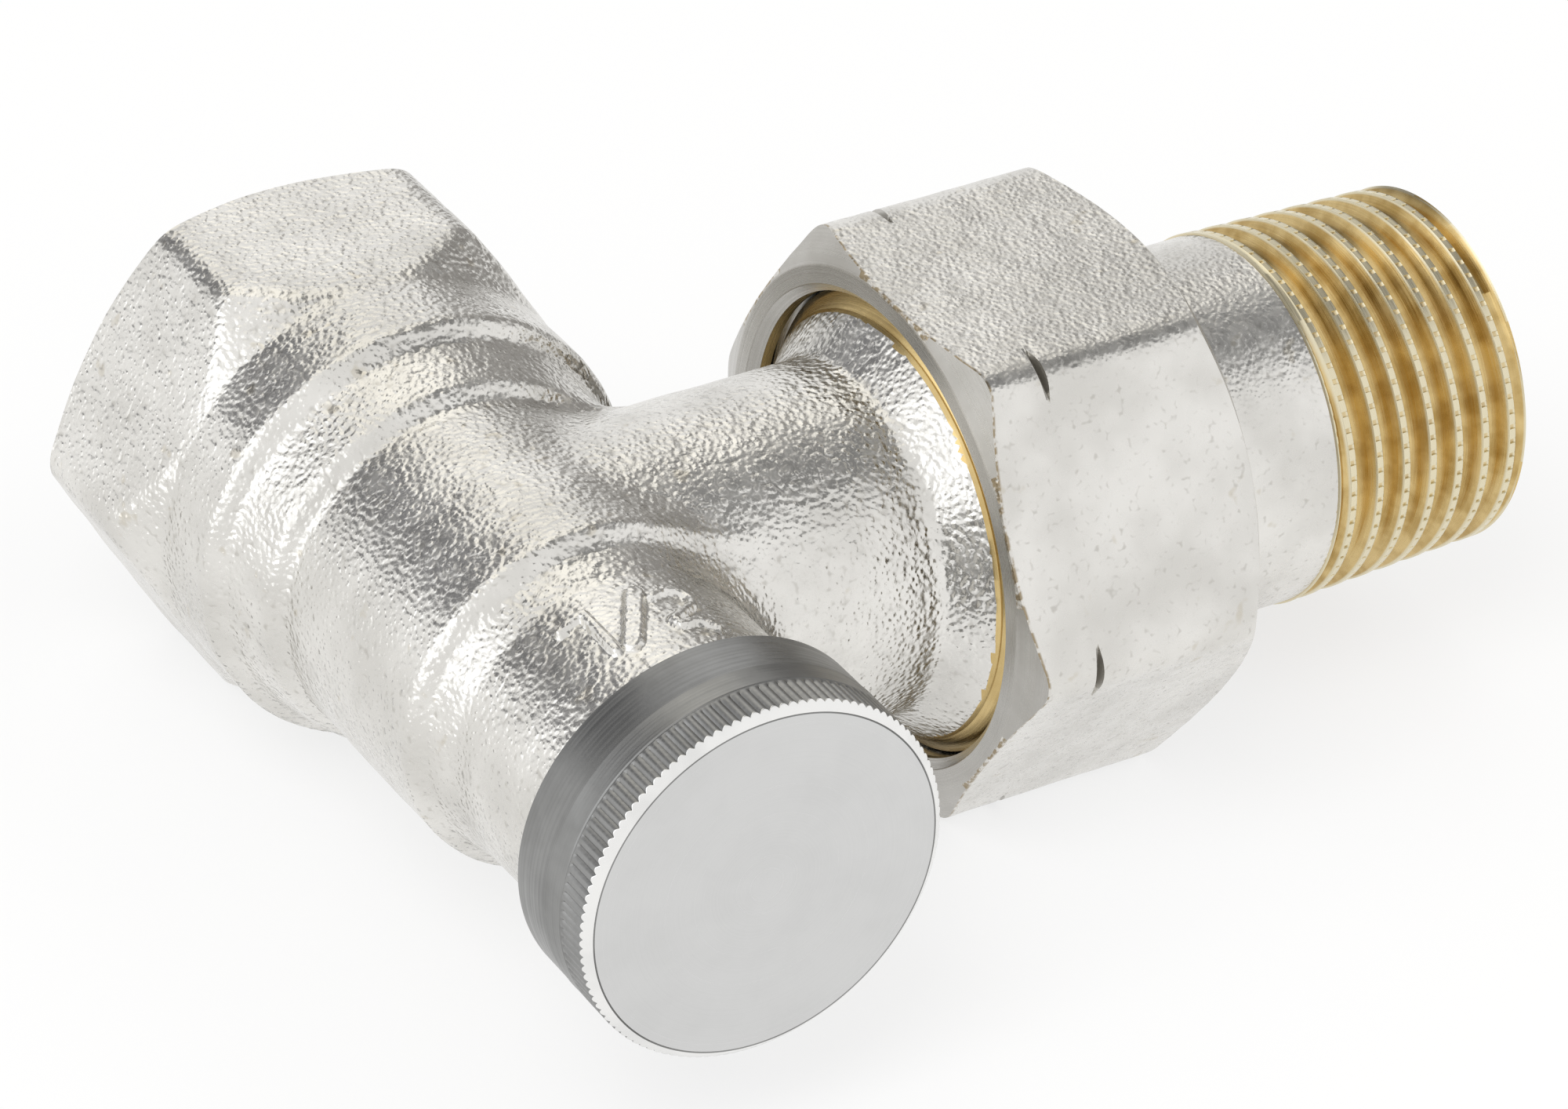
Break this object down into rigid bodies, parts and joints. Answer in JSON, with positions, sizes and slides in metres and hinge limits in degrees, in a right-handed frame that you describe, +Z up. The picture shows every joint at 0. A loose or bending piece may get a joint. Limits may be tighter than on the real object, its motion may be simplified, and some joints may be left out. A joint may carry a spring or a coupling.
{
  "type": "radiator lockshield valve",
  "caption": "Angle lockshield valve for a radiator: forged body with a female hexagonal inlet, blind knurled cap over the regulating spindle, and a union nut with a taper-thread tail.",
  "frame": {"origin": "centre of the inlet's mouth", "axes": "+Y points out of the inlet, +X runs along the outlet out of the tail, +Z is up, square to both pipe axes, as the valve lies on its side"},
  "size_m": [0.0725, 0.0531, 0.0302],
  "materials": {
    "forged_nickel": "hot-forged brass, shot-blasted and nickel plated",
    "turned_nickel": "turned brass, nickel plated",
    "tail_brass": "bare machined taper thread, neck nickel plated",
    "bare_brass": "turned, bare",
    "seal_rubber": "moulded rubber, matt",
    "spring_steel": "stainless steel"
  },
  "bodies": {
    "valve": {"valve_body": "forged_nickel", "bonnet": "bare_brass", "bonnet_seal": "seal_rubber", "spindle_stop_ring": "spring_steel"},
    "shutter": {"shutter": "bare_brass", "shutter_clip": "spring_steel", "seat_washer": "seal_rubber", "washer_screw": "spring_steel"},
    "spindle": {"spindle": "bare_brass", "spindle_seal_inner": "seal_rubber", "spindle_seal_outer": "seal_rubber"},
    "gasket": {"cap_gasket": "seal_rubber"},
    "cap": {"cap": "turned_nickel"},
    "tail": {"tailpiece": "tail_brass", "tail_seal": "seal_rubber"},
    "nut": {"union_nut": "forged_nickel"}
  },
  "joints": [
    {"name": "shutter_slide", "type": "slide", "parent": "valve", "child": "shutter", "axis": [0, 1, 0], "range_m": [0, 0.0035]},
    {"name": "spindle_turn", "type": "hinge", "parent": "shutter", "child": "spindle", "pos_m": [0, -0.0278, 0], "axis": [0, 1, 0], "range_deg": [0, 1262]},
    {"name": "gasket_slide", "type": "slide", "parent": "valve", "child": "gasket", "axis": [0, -1, 0], "range_m": [0, 0.00431]},
    {"name": "cap_turn", "type": "hinge", "parent": "gasket", "child": "cap", "pos_m": [0, -0.0278, 0], "axis": [0, -1, 0], "range_deg": [0, 1548]},
    {"name": "tail_slide", "type": "slide", "parent": "valve", "child": "tail", "axis": [1, 0, 0], "range_m": [0, 0.00817]},
    {"name": "nut_turn", "type": "hinge", "parent": "tail", "child": "nut", "pos_m": [0, -0.0278, 0], "axis": [1, 0, 0], "range_deg": [0, 1620]}
  ],
  "couplings": [
    {"joint": "spindle_turn", "follows": "shutter_slide", "rad_per_m": 6283.2},
    {"joint": "gasket_slide", "follows": "cap_turn", "m_per_rad": 0.00015915},
    {"joint": "tail_slide", "follows": "nut_turn", "m_per_rad": 0.00028875}
  ]
}
